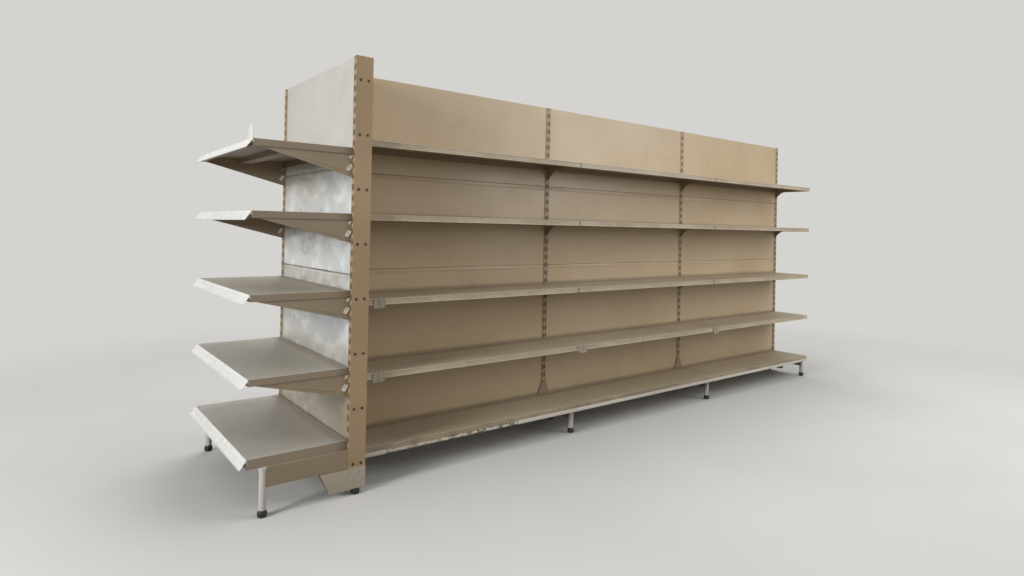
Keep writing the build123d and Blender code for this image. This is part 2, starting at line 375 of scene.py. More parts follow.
@dataclass(frozen=True)
class PanelEnamel(Enamel):
    """The enamel of the back panels, with a dirty line behind each shelf and faint old ones between."""

    levels: tuple[float, ...] = ()
    old_pitch: float = 0.050

    def mark(self, board: Board) -> None:
        """Draws the lines that dust and goods have left behind the shelves.

        Args:
            board: What it is painted on.
        """
        height = board.z + (board.noise(6.0, 3.0, shift=4.0) * 0.008 - 0.004)
        for level in self.levels:
            board.coat(height.band(level + 0.005, 0.002, 0.014) * 0.42, FLOOR_GRIME)
        old = height.wrapped(self.old_pitch).band(0.0, 0.0012, 0.0030)
        where = board.noise(2.6, 1.0, (0.5, 0.5, 1.6), shift=8.0).rise(0.56, 0.66)
        board.coat(old * where * 0.08, FLOOR_GRIME)
        rubbed = board.noise(4.5, 4.0, (0.35, 0.35, 1.0), bend=0.4, shift=31.0).rise(0.50, 0.74)
        board.coat(rubbed * 0.12, DUST)


@dataclass(frozen=True)
class SmearedEnamel(Enamel):
    """The paler enamel of the end unit's panels, filmed and flecked where things were stuck on, its film and
    wisps partly a painted reflection.
    """

    film: Triple = srgb(194, 207, 214)
    wisp: Triple = srgb(233, 239, 241)
    fleck: Triple = srgb(124, 130, 129)
    tan: Triple = srgb(150, 134, 112)
    clean_above: float = 1.56
    seams: tuple[float, ...] = ()
    dirty_seam: float = 1.0

    def mark(self, board: Board) -> None:
        """Lays a cool film with pale wisps, partly smears and partly a painted reflection, and dark flecks
        below the topmost part, and browns its foot.

        Args:
            board: What it is painted on.
        """
        below = board.z.fall(self.clean_above - 0.05, self.clean_above + 0.02)
        clouds = board.noise(2.4, 3.0, (1.0, 0.6, 1.0), shift=6.0).rise(0.36, 0.62)
        # Cool film: partly smeared residue, partly a painted reflection of cool light.
        board.coat(clouds * below * 0.70, self.film)
        # Pale wisps: partly smears, partly a painted reflection; the band about z 1.15 is a painted sheen.
        wisps = board.noise(12.0, 1.5, (1.0, 0.6, 1.0), shift=17.0).rise(0.44, 0.66)
        middle = board.z.band(1.15, 0.10, 0.14) * 0.25
        board.coat((wisps * 0.75 + middle) * below, self.wisp)
        clusters = board.noise(3.4, 2.0, (1.0, 0.6, 1.0), shift=23.0).rise(0.46, 0.60)
        flecks = board.noise(30.0, 2.0, (1.0, 0.45, 1.0), shift=2.0).rise(0.52, 0.66)
        board.coat(flecks * clusters * below * 0.34, self.fleck)
        browned = board.z.fall(0.48, 0.78) * (0.70 + clouds * 0.30)
        for seam in self.seams:
            under = board.z.rise(seam - 0.16, seam - 0.05) * board.z.fall(seam - 0.006, seam)
            browned = browned.larger(under * 0.35)
        board.coat(browned * below * 0.85, self.tan)
        smudged = board.noise(12.0, 3.0, (1.0, 0.5, 1.0), shift=41.0).rise(0.40, 0.60)
        caught = board.z.band(self.dirty_seam, 0.0014, 0.0050)
        board.coat(caught * (0.40 + smudged * 0.50), FLOOR_GRIME)


@dataclass(frozen=True)
class ShelfEnamel(Enamel):
    """The enamel of a shelf, scratched by goods, darker at the rear and worn along the front edge."""

    scuffs: Scuffs = Scuffs.ACROSS_RUN
    rear: float = 0.0
    front: float = 1.0
    along_run: bool = True
    pale_below: float = 0.0
    paler: Triple = srgb(202, 199, 191)
    # Share and colour of the painted shade on faces that don't look up: the folds and undersides.
    fold_share: float = 0.35
    fold: Triple = srgb(140, 122, 99)

    def mark(self, board: Board) -> None:
        """Pales the low shelves, darkens the folds and undersides with painted shade, darkens the rear edge
        and wears the front one.

        Args:
            board: What it is painted on.
        """
        if self.pale_below:
            board.coat(board.z.fall(self.pale_below - 0.35, self.pale_below) * 0.75, self.paler)
        # Painted shade: every face that doesn't look up takes a share of the darker fold colour.
        flat = board.facing_up()
        board.coat((1.0 - flat) * self.fold_share, self.fold)
        depth = board.y if self.along_run else board.x
        inward = 1.0 if self.rear > self.front else -1.0
        wander = board.noise(9.0, 4.0, shift=12.0)
        from_rear = (self.rear - depth) * inward - wander * 0.05
        board.coat(from_rear.fall(0.0, 0.045) * 0.40, FLOOR_GRIME)
        from_front = (depth - self.front) * inward - wander * 0.006
        board.coat(from_front.fall(0.0, 0.006) * wander.rise(0.42, 0.60) * 0.45, BARE_STEEL)
        rings = board.noise(11.0, 5.0, bend=2.0, shift=29.0).band(0.50, 0.010, 0.020)
        board.coat(rings * flat * 0.08, FLOOR_GRIME)


@dataclass(frozen=True)
class GluedEnamel(ShelfEnamel):
    """The enamel of the front base shelves, with the glue that the torn edge strip left."""

    torn: tuple[float, float] = (0.0, 0.0)
    strip_middle: float = 0.0
    glue: Triple = srgb(206, 196, 176)
    dirt: Triple = srgb(70, 56, 42)

    def mark(self, board: Board) -> None:
        """Adds pale glue and caught dirt where the strip has gone.

        Args:
            board: What it is painted on.
        """
        super().mark(board)
        start, end = self.torn
        along = board.x.rise(start - 0.03, start) * board.x.fall(end, end + 0.02)
        on_strip = board.z.band(self.strip_middle, 0.008, 0.003) * along
        board.coat(on_strip * 0.75, self.dirt)
        ragged = board.noise(55.0, 4.0, (1.0, 1.0, 1.6), bend=0.8, shift=37.0).rise(0.50, 0.56)
        board.coat(on_strip * ragged * 0.85, self.glue)


@dataclass(frozen=True)
class RailPlastic(Finish):
    """Extruded plastic of a price rail, darkened with painted shade in its channel and scratched along its
    length.
    """

    roughness: float = 0.38
    soiling: float = 0.35
    fronts: tuple[float, float] | None = None
    joints: tuple[float, float] = (0.0, 1.0)
    # Colour of the painted shade in the rail's recessed channel.
    channel: Triple = srgb(176, 158, 130)

    def paint(self, board: Board) -> None:
        """Paints the plastic, its dirt and its scratches, and painted shade in the channel between the
        fronts.

        Args:
            board: What it is painted on.
        """
        patches = board.noise(2.4, 4.0).rise(0.36, 0.70)
        board.coat(patches * self.soiling, self.worn)
        if self.fronts:
            # Painted shade: darkens the channel behind the rail's lips, where the lips shade it.
            middle = sum(self.fronts) / 2
            behind = (self.fronts[1] - middle) - abs(board.y - middle)
            channel_shade_patches = board.noise(9.0, 4.0, (0.5, 1.0, 1.0), shift=21.0).rise(0.30, 0.66) * 0.45 + 0.45
            board.coat(behind.rise(0.0010, 0.0018) * channel_shade_patches, self.channel)
            joint = (board.x - self.joints[0]).wrapped(self.joints[1]).band(0.0, 0.003, 0.006)
            board.coat(joint * 0.55, FLOOR_GRIME)
        marks = board.noise(26.0, 5.0, bend=0.9, shift=3.0).rise(0.60, 0.72)
        board.coat(marks * self.soiling * 0.9, SCUFF_GREY)
        scratches = board.noise(320.0, 2.0, (0.03, 0.03, 1.0), shift=9.0).rise(0.60, 0.72)
        board.coat(scratches * self.soiling * 0.5, self.worn)
        board.coat(board.facing_up() * 0.25, DUST)
        roughness = self.roughness + scratches * 0.15 + patches * 0.08
        board.surface(roughness, board.noise(420.0, 2.0, (0.15, 0.15, 1.0)), 0.00006)


class Galvanised(Finish):
    """Zinc-coated steel, with its grey crystals."""

    def paint(self, board: Board) -> None:
        """Paints the crystals and the dullness over them.

        Args:
            board: What it is painted on.
        """
        crystals = board.add("TexVoronoi", {"Vector": board.place, "Scale": 180.0}, 1)
        shade = board.add("SeparateColor", {"Color": crystals})
        board.coat(shade * 0.7, self.worn)
        dusty = board.facing_up() * board.noise(40.0, 4.0).rise(0.30, 0.70)
        board.coat(dusty * 0.6, DUST)
        roughness = 0.38 + shade * 0.16 + dusty * 0.25
        board.surface(roughness, board.noise(300.0, 2.0), 0.00005, Metallic=0.85 - dusty * 0.6)


class Rubber(Finish):
    """Black rubber, greyed by floor dust."""

    def paint(self, board: Board) -> None:
        """Paints the dust that washing leaves low on the rubber.

        Args:
            board: What it is painted on.
        """
        low = board.z.fall(0.0, 0.012) * 0.6 + board.facing_up() * 0.5
        dust = low * board.noise(120.0, 4.0, shift=5.0).rise(0.35, 0.70)
        board.coat(dust, self.worn)
        board.surface(0.62 + dust * 0.25, board.noise(500.0, 3.0), 0.00025)


@dataclass(frozen=True)
class MouldedPlastic(Finish):
    """Moulded plastic of a small fitting."""

    roughness: float = 0.40

    def paint(self, board: Board) -> None:
        """Paints the plastic's worn and dirty places.

        Args:
            board: What it is painted on.
        """
        worn = board.noise(90.0, 4.0).rise(0.42, 0.70)
        board.coat(worn * 0.55, self.worn)
        board.surface(self.roughness + worn * 0.15, board.noise(700.0, 2.0), 0.00004)


class Card(Finish):
    """Paper card of a label, with nothing on it."""

    def paint(self, board: Board) -> None:
        """Paints paper fibres and fading.

        Args:
            board: What it is painted on.
        """
        fibres = board.noise(900.0, 3.0, (1.0, 1.0, 0.5))
        board.coat(board.noise(22.0, 3.0, shift=4.0).rise(0.35, 0.70) * 0.6, self.worn)
        board.coat(fibres * 0.15, self.worn)
        board.surface(0.80 + fibres * 0.10, fibres, 0.00003)


@dataclass(frozen=True)
class Backdrop(Finish):
    """The pale floor, which fades into the surround and throws less light back up than it shows."""

    surround: Triple
    dim: Triple = srgb(118, 109, 98)
    fade_from: float = 2.5
    fade_to: float = 5.6

    def paint(self, board: Board) -> None:
        """Paints the floor near the shelving and its fading farther out.

        Args:
            board: What it is painted on.
        """
        seen = board.seen()
        board.coat(board.noise(0.6, 3.0).rise(0.35, 0.65), self.worn)
        near = {"Base Color": board.mix(seen, self.dim, board.colour), "Roughness": 0.75}
        far = {"Color": self.surround, "Strength": 1.0}
        distance = board.add("VectorMath", {0: board.place}, 1, operation="LENGTH")
        share = distance.rise(self.fade_from, self.fade_to) * seen
        shaders = {1: board.add("BsdfPrincipled", near), 2: board.add("Emission", far)}
        board.end(board.add("MixShader", {0: share, **shaders}))


# Places


def at(x: float, y: float, z: float = 0.0, turn: float = 0.0) -> Matrix:
    """Gives the matrix of a place, turned about the vertical by an angle in degrees."""
    return Matrix.Translation((x, y, z)) @ Matrix.Rotation(math.radians(turn), 4, "Z")


class Layout:
    """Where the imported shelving's own pieces are."""

    run_levels = (0.530, 0.880, 1.280, 1.630)
    end_levels = (0.580, 0.930, 1.280, 1.580)
    seams = (0.500, 1.000, 1.500)
    run_base = 0.180
    end_base = 0.250
    panel_recess = 0.005
    shelf_joint = 0.002
    slot_row_shift = 0.007
    run_leg_setback = 0.050
    end_leg_setback = 0.064

    def __init__(self) -> None:
        """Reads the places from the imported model's boxes."""
        posts = [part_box(f"post_{number}") for number in (1, 2, 3, 4)]
        end_low, end_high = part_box("end_post_far")
        self.post_xs = [(low.x + high.x) / 2 for low, high in posts]
        self.bay = self.post_xs[1] - self.post_xs[0]
        self.bay_xs = [x + self.bay / 2 for x in self.post_xs[:-1]]
        self.front_face = posts[0][0].y
        self.back_face = posts[0][1].y
        self.front_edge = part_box("front_price_rails")[0].y
        self.back_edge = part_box("back_price_rails")[1].y
        self.run_y = (self.front_face + self.back_face) / 2
        self.run_leg_ys = (self.front_edge + self.run_leg_setback, self.back_edge - self.run_leg_setback)
        self.end_face = end_low.x
        self.end_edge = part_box("end_shelves")[0].x
        self.end_x = (end_low.x + end_high.x) / 2
        self.end_leg_x = self.end_edge + self.end_leg_setback
        self.end_post_y = (end_low.y + end_high.y) / 2
        self.end_post_ys = (-self.end_post_y, self.end_post_y)
        self.end_half = self.end_post_y - self.shelf_joint / 2

    def end_brackets(self) -> list[Matrix]:
        """Gives the places of the end unit's brackets, each at its post's face and its shelf's level."""
        reach = self.end_post_y - self.slot_row_shift
        return [at(self.end_face, y, level, -90.0) for y in (-reach, reach) for level in self.end_levels]


# Modelling

# How squarely a face looks along an axis, and an edge runs along it, where they are picked by that axis.
LOOKS_ALONG = 0.9
RUNS_ALONG = 0.99


def lay_down() -> None:
    """Leaves object mode clean, with nothing selected, so that the next operator acts on its own piece."""
    if bpy.context.object is not None and bpy.context.object.mode != "OBJECT":
        bpy.ops.object.mode_set(mode="OBJECT")
    bpy.ops.object.select_all(action="DESELECT")


def anywhere(_: Vector) -> bool:
    """Passes every place."""
    return True


def runs(edge: bmesh.types.BMEdge, axis: int) -> bool:
    """Tells whether an edge runs along an axis."""
    step = edge.verts[1].co - edge.verts[0].co
    return abs(step[axis]) > RUNS_ALONG * step.length


class Bench:
    """A mesh on the bench, modelled in edit mode with Blender's own operators."""

    def __init__(self, name: str) -> None:
        """Takes the primitive that was just added, sets its place in its mesh, and opens it for editing.

        Args:
            name: The piece's name.
        """
        self.piece = bpy.context.active_object
        self.piece.name = name
        bpy.ops.object.transform_apply(location=True, rotation=True, scale=True)
        bpy.ops.object.mode_set(mode="EDIT")

    @classmethod
    def block(cls, name: str, low: Sequence[float], high: Sequence[float]) -> Bench:
        """Starts from a block between two corners.

        Args:
            name: The piece's name.
            low: The lowest corner.
            high: The highest corner.

        Returns:
            The open bench.
        """
        lay_down()
        middle = [(a + b) / 2 for a, b in zip(low, high)]
        size = [b - a for a, b in zip(low, high)]
        bpy.ops.mesh.primitive_cube_add(size=1.0, location=middle, scale=size)
        return cls(name)

    @classmethod
    def turned(cls, name: str, rings: Rings, sides: int = 28) -> Bench:
        """Raises a turned form from a disc, ring by ring, about the upright axis.

        Args:
            name: The piece's name.
            rings: The radius and height of each ring, from the bottom up.
            sides: How many sides the disc has.

        Returns:
            The open bench.
        """
        lay_down()
        radius, height = rings[0]
        bpy.ops.mesh.primitive_circle_add(
            vertices=sides, radius=radius, fill_type="NGON", location=(0.0, 0.0, height)
        )
        bench = cls(name)
        bpy.ops.mesh.select_all(action="SELECT")
        for wide, high in rings[1:]:
            bench.extrude((0.0, 0.0, high - height))
            factor = wide / radius
            bpy.ops.transform.resize(value=(factor, factor, 1.0), center_override=(0.0, 0.0, high))
            radius, height = wide, high
        return bench

    def faces(self, axis: int, sign: int, where: Test = anywhere) -> Bench:
        """Selects faces by the way they look and by where they are.

        Args:
            axis: The axis that they look along.
            sign: 1 or -1 for one way along it, or 0 for both.
            where: The test that their middle passes.

        Returns:
            The bench.
        """
        return self.pick("face", lambda face: (
            (face.normal[axis] * sign if sign else abs(face.normal[axis])) > LOOKS_ALONG
            and where(face.calc_center_median())
        ))

    def edges(self, axis: int | None = None, where: Test = anywhere) -> Bench:
        """Selects edges by the way they run and by where they are.

        Args:
            axis: The axis that they run along, or none for any way.
            where: The test that both their ends pass.

        Returns:
            The bench.
        """
        return self.pick("edge", lambda edge: (
            (axis is None or runs(edge, axis)) and all(where(vertex.co) for vertex in edge.verts)
        ))

    def pick(self, kind: str, wanted: Callable) -> Bench:
        """Selects only some of the mesh's elements.

        Args:
            kind: Face or edge.
            wanted: The test that they pass.

        Returns:
            The bench.
        """
        bpy.ops.mesh.select_mode(type=kind.upper())
        bpy.ops.mesh.select_all(action="DESELECT")
        mesh = bmesh.from_edit_mesh(self.piece.data)
        for element in filter(wanted, getattr(mesh, f"{kind}s")):
            element.select_set(True)
        bmesh.update_edit_mesh(self.piece.data)
        return self

    def extrude(self, move: Sequence[float]) -> Bench:
        """Extrudes the selected faces."""
        bpy.ops.mesh.extrude_region_move(TRANSFORM_OT_translate={"value": move})
        return self

    def inset(self, width: float, depth: float = 0.0) -> Bench:
        """Insets the selected faces, and sinks or raises what is inside."""
        bpy.ops.mesh.inset(thickness=width, depth=depth)
        return self

    def bevel(self, width: float, segments: int) -> Bench:
        """Rounds the selected edges."""
        bpy.ops.mesh.bevel(offset=width, segments=segments, affect="EDGES")
        return self

    def cuts(self, axis: int, stations: Sequence[float]) -> Bench:
        """Cuts the whole mesh across one axis, and keeps both sides of each cut.

        Args:
            axis: The axis.
            stations: The places of the cuts on it.

        Returns:
            The bench.
        """
        normal = Matrix.Identity(3)[axis]
        for station in stations:
            bpy.ops.mesh.select_all(action="SELECT")
            bpy.ops.mesh.bisect(plane_co=normal * station, plane_no=normal)
        return self

    def shape(self, move: Callable[[Vector], Vector]) -> Bench:
        """Moves every vertex.

        Args:
            move: Gives a vertex's new place for its old one.

        Returns:
            The bench.
        """
        mesh = bmesh.from_edit_mesh(self.piece.data)
        for vertex in mesh.verts:
            vertex.co = move(vertex.co.copy())
        bmesh.update_edit_mesh(self.piece.data)
        return self

    def done(self, angle: float = 35.0, turn: Matrix | None = None) -> bpy.types.Object:
        """Turns all faces outwards, closes the bench and smooths what is gentler than an angle.

        Args:
            angle: The angle in degrees.
            turn: How the finished mesh is moved and turned, if it is.

        Returns:
            The finished piece.
        """
        bpy.ops.mesh.select_all(action="SELECT")
        bpy.ops.mesh.normals_make_consistent(inside=False)
        if bmesh.from_edit_mesh(self.piece.data).calc_volume(signed=True) < 0.0:
            bpy.ops.mesh.flip_normals()
        bpy.ops.object.mode_set(mode="OBJECT")
        bpy.ops.object.shade_smooth_by_angle(angle=math.radians(angle))
        if turn is not None:
            self.piece.data.transform(turn)
        return self.piece


# The palette


class Palette:
    """Every finish on the shelving."""

    def __init__(self, plan: Layout) -> None:
        """Works the finishes out from the layout.

        Args:
            plan: The layout.
        """
        # Painted shade, in part: the posts are given darker, browner enamel than the end panels, for the
        # warm shade on their faces.
        self.run_post = PostEnamel(
            "run post enamel", srgb(200, 179, 146), srgb(182, 158, 122),
            first_line=plan.post_xs[0], line_pitch=plan.bay,
        )
        self.end_post = PostEnamel(
            "end post enamel", srgb(182, 157, 122), srgb(160, 134, 99),
            # Strong dirt and painted shade along the end posts' slots.
            first_line=plan.end_post_y, rim_dirt=0.62, rim_film=0.08, holes_at=plan.end_x,
        )
        # Darker than the panels, partly as painted shade on the brackets under the shelves.
        self.steel = Enamel("bracket enamel", srgb(160, 143, 119), srgb(140, 122, 99), scuffing=0.4)
        self.foot_steel = Enamel("shoe enamel", srgb(198, 187, 168), srgb(176, 162, 140), dustiness=0.6)
        self.leg = Enamel("leg enamel", srgb(218, 215, 208), srgb(192, 187, 177), scuffs=Scuffs.UPRIGHT)
        # Browner than the end panels, partly as painted shade on the run's faces.
        self.panel = PanelEnamel(
            "panel enamel", srgb(205, 185, 152), srgb(190, 166, 129), roughness=0.30,
            levels=(plan.run_base, *plan.run_levels),
        )
        self.end_panel = SmearedEnamel(
            "end panel enamel", srgb(208, 205, 197), srgb(192, 188, 178), roughness=0.28,
            scuffing=0.15, seams=plan.seams,
        )
        tones = (srgb(197, 183, 158), srgb(180, 163, 136))
        self.front_shelf, self.back_shelf = (
            ShelfEnamel(f"{side} shelf enamel", *tones, rear=rear, front=edge)
            for side, rear, edge in (
                ("front", plan.front_face, plan.front_edge), ("back", plan.back_face, plan.back_edge)
            )
        )
        self.end_shelf = ShelfEnamel(
            "end shelf enamel", srgb(196, 187, 171), srgb(178, 167, 149), scuffs=Scuffs.ALONG_RUN,
            # A strong share of painted shade on the end shelves' folds and undersides.
            rear=plan.end_face, front=plan.end_edge, along_run=False, pale_below=0.80, fold_share=0.85,
        )
        self.front_base = GluedEnamel(
            "front base enamel", srgb(190, 175, 149), srgb(170, 152, 124), grime_height=0.24,
            rear=plan.front_face, front=plan.front_edge, torn=EdgeStrip.torn,
            strip_middle=EdgeStrip.low + EdgeStrip.height / 2,
        )
        self.run_rail = RailPlastic(
            "run rail plastic", srgb(222, 210, 186), srgb(194, 178, 150),
            fronts=(plan.front_edge, plan.back_edge), joints=(plan.post_xs[0], plan.bay),
        )
        self.end_rail = RailPlastic(
            "end rail plastic", srgb(242, 242, 239), srgb(216, 216, 210), roughness=0.30, soiling=0.14
        )
        self.edge_strip = RailPlastic("edge strip plastic", srgb(224, 218, 209), srgb(180, 170, 154))
        self.zinc = Galvanised("galvanised steel", srgb(176, 178, 178), srgb(140, 142, 141))
        self.rubber = Rubber("black rubber", srgb(30, 29, 28), srgb(98, 90, 80))
        self.nylon = MouldedPlastic("white nylon", srgb(242, 238, 230), srgb(214, 204, 188))
        self.tab = MouldedPlastic("milky plastic", srgb(226, 226, 219), srgb(198, 197, 186), 0.30)
        self.pocket = MouldedPlastic("label pocket plastic", srgb(176, 171, 150), srgb(140, 134, 114), 0.25)
        self.card = Card("label card", srgb(206, 194, 170), srgb(186, 170, 142))
        self.insert = Card("blank insert card", srgb(234, 234, 231), srgb(218, 218, 213))

    def by_node(self) -> dict[str, Finish]:
        """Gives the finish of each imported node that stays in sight.

        Returns:
            The finishes by the nodes' names.
        """
        groups = (
            (self.run_post, "post_1 post_2 post_3 post_4"),
            (self.end_post, "end_post_near end_post_far"),
            (self.foot_steel, "post_shoes end_post_shoes"),
            (self.steel, "post_skirts end_brackets end_base_beams"),
            (self.leg, "run_legs end_legs"),
            (self.zinc, "tie_bars end_tie_bars"),
            (self.run_rail, "front_price_rails back_price_rails"),
            (self.front_base, "front_base_shelves"),
            (self.back_shelf, "back_base_shelves"),
            (self.edge_strip, "back_edge_strips"),
            (self.end_panel, "end_panels"),
            (self.panel, "end_rear_panels"),
            (self.end_shelf, "end_shelves end_base_shelf"),
        )
        found = {name: finish for finish, names in groups for name in names.split()}
        for side, shelf in (("front", self.front_shelf), ("back", self.back_shelf)):
            found |= {f"{side}_brackets": self.steel, f"{side}_base_beams": self.steel}
            for bay in (1, 2, 3):
                found |= {f"{side}_panels_bay_{bay}": self.panel, f"{side}_shelves_bay_{bay}": shelf}
        return found

    def paint(self, nodes: dict[str, bpy.types.Object]) -> None:
        """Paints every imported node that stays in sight.

        Args:
            nodes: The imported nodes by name.
        """
        for name, finish in self.by_node().items():
            nodes[name].data.materials.clear()
            nodes[name].data.materials.append(finish.material())
            LOG.info("%s: %s", name, finish.name)


# Sub-assemblies


@dataclass(frozen=True)
class Assembly:
    """One kind of piece with its sizes."""

    plan: Layout
    palette: Palette

    def build(self) -> None:
        """Models the pieces and sets them out."""
        raise NotImplementedError

    def set_out(
        self,
        name: str,
        patterns: Sequence[tuple[bpy.types.Object, Sequence[Matrix]]],
        finish: Finish,
        slot: str,
        *nodes: str,
    ) -> None:
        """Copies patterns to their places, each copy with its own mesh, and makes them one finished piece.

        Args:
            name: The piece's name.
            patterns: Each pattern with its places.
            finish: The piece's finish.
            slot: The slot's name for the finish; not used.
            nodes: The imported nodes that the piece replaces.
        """
        copies = []
        for pattern, places in patterns:
            for place in places:
                mesh = pattern.data.copy()
                mesh.transform(place)
                copies.append(bpy.data.objects.new(name, mesh))
        for pattern, _ in patterns:
            bpy.data.objects.remove(pattern)
        lay_down()
        for copy in copies:
            bpy.context.scene.collection.objects.link(copy)
            copy.select_set(True)
        piece = copies[0]
        bpy.context.view_layer.objects.active = piece
        if len(copies) > 1:
            bpy.ops.object.join()
        piece.name = name
        piece.data.materials.clear()
        piece.data.materials.append(finish.material())
        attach(piece, ROOT)
        if nodes:
            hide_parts(*nodes)
        LOG.info("%s: %d faces", name, len(piece.data.polygons))


@dataclass(frozen=True)
class Feet(Assembly):
    """The rubber feet under the legs and shoes, turned like a bun with a groove round its middle."""

    rings: Rings = (
        (0.0140, 0.0), (0.0152, 0.0008), (0.0170, 0.0030), (0.0184, 0.0058), (0.0194, 0.0090),
        (0.0199, 0.0125), (0.0199, 0.0142), (0.0191, 0.0148), (0.0191, 0.0158), (0.0199, 0.0164),
        (0.0198, 0.0185), (0.0191, 0.0218), (0.0180, 0.0250), (0.0166, 0.0278), (0.0154, 0.0292),
        (0.0145, 0.0300),
    )

    def build(self) -> None:
        """Stands a foot under every leg and shoe."""
        plan = self.plan
        front, back = plan.run_leg_ys
        under_run = [at(x, y) for x in plan.post_xs for y in (front, plan.run_y, back)]
        under_end = [at(x, y) for x in (plan.end_leg_x, plan.end_x) for y in plan.end_post_ys]
        for name, places in (("run_feet", under_run), ("end_feet", under_end)):
            foot = Bench.turned("foot", self.rings).done(25.0)
            self.set_out(f"turned_{name}", [(foot, places)], self.palette.rubber, "rubber", name)


@dataclass(frozen=True)
class LegCollars(Assembly):
    """The pressed collar that holds each leg under its beam."""

    rings: Rings = (
        (0.0156, -0.0140), (0.0172, -0.0132), (0.0176, -0.0118), (0.0176, -0.0012), (0.0164, -0.0002),
    )
    run_top: float = 0.137
    end_top: float = 0.207

    def build(self) -> None:
        """Puts a collar at the top of each leg."""
        plan = self.plan
        places = [at(x, y, self.run_top) for x in plan.post_xs for y in plan.run_leg_ys]
        places += [at(plan.end_leg_x, y, self.end_top) for y in plan.end_post_ys]
        collar = Bench.turned("collar", self.rings).done(25.0)
        self.set_out("leg_collars", [(collar, places)], self.palette.leg, "leg_paint")


@dataclass(frozen=True)
class BracketRibs(Assembly):
    """The long rib pressed into each deep bracket, above its slanting lower edge."""

    drop: float = 0.135
    fold: float = 0.028
    front_gap: float = 0.015
    half_thickness: float = 0.0022
    half_height: float = 0.0036
    rounding: float = 0.0009
    clear: float = 0.017
    rear_gap: float = 0.055
    reach_share: float = 0.62
    end_share: float = 0.98

    def _rib(self, depth: float) -> bpy.types.Object:
        """Models the rib of a bracket.

        Args:
            depth: The depth of the bracket's shelf.

        Returns:
            The rib, with the post's face at Y zero.
        """
        reach = depth - self.front_gap
        slope = math.atan2(self.drop - self.fold, reach)
        far = reach * self.reach_share
        half_length = (far - self.rear_gap) / math.cos(slope) / 2
        x, y, z = self.half_thickness, half_length, self.half_height
        bench = Bench.block("rib", (-x, -y, -z), (x, y, z))
        bench.edges(0).bevel(z * self.end_share, 4)
        bench.edges().bevel(self.rounding, 2)
        middle = (self.rear_gap + far) / 2
        height = -self.drop + middle / reach * (self.drop - self.fold) + self.clear
        turn = Matrix.Rotation(-slope, 4, "X")
        return bench.done(30.0, Matrix.Translation((0.0, -middle, height)) @ turn)

    def build(self) -> None:
        """Presses a rib into the brackets of the back side and of the end unit."""
        plan = self.plan
        shift = plan.bay / 2 - plan.slot_row_shift
        behind = [
            at(x + side, plan.back_face, level, 180.0)
            for x in plan.bay_xs for side in (-shift, shift) for level in plan.run_levels
        ]
        for name, depth, places in (
            ("back_bracket_ribs", plan.back_edge - plan.back_face, behind),
            ("end_bracket_ribs", plan.end_face - plan.end_edge, plan.end_brackets()),
        ):
            self.set_out(name, [(self._rib(depth), places)], self.palette.steel, "bracket_paint")


@dataclass(frozen=True)
class BracketClips(Assembly):
    """The white nylon clips that lock the end unit's brackets, each with a stud by the upper hook."""

    clip_half: Triple = (0.0042, 0.0085, 0.0165)
    clip_place: Triple = (0.0, -0.016, -0.091)
    stud_half: Triple = (0.0036, 0.0045, 0.0090)
    stud_place: Triple = (0.0, -0.010, -0.042)
    corner_share: float = 0.85
    border_share: float = 0.22
    slope_share: float = 0.07
    sunk: float = 0.0010
    tilt: float = 32.0

    def _clip(self, half: Triple, place: Triple) -> bpy.types.Object:
        """Models one rounded clip with a sunk face on both sides of its bracket.

        Args:
            half: Half its size.
            place: The place of its middle.

        Returns:
            The clip.
        """
        width = half[1]
        bench = Bench.block("clip", [-share for share in half], half)
        bench.edges(0).bevel(width * self.corner_share, 4)
        bench.faces(0, 0).inset(width * self.border_share).inset(width * self.slope_share, -self.sunk)
        turn = Matrix.Rotation(math.radians(-self.tilt), 4, "X")
        return bench.done(30.0, Matrix.Translation(place) @ turn)

    def build(self) -> None:
        """Clips both to each bracket of the end unit."""
        places = self.plan.end_brackets()
        clip = self._clip(self.clip_half, self.clip_place)
        stud = self._clip(self.stud_half, self.stud_place)
        patterns = [(clip, places), (stud, places)]
        self.set_out("end_bracket_clips", patterns, self.palette.nylon, "end_rail_plastic")


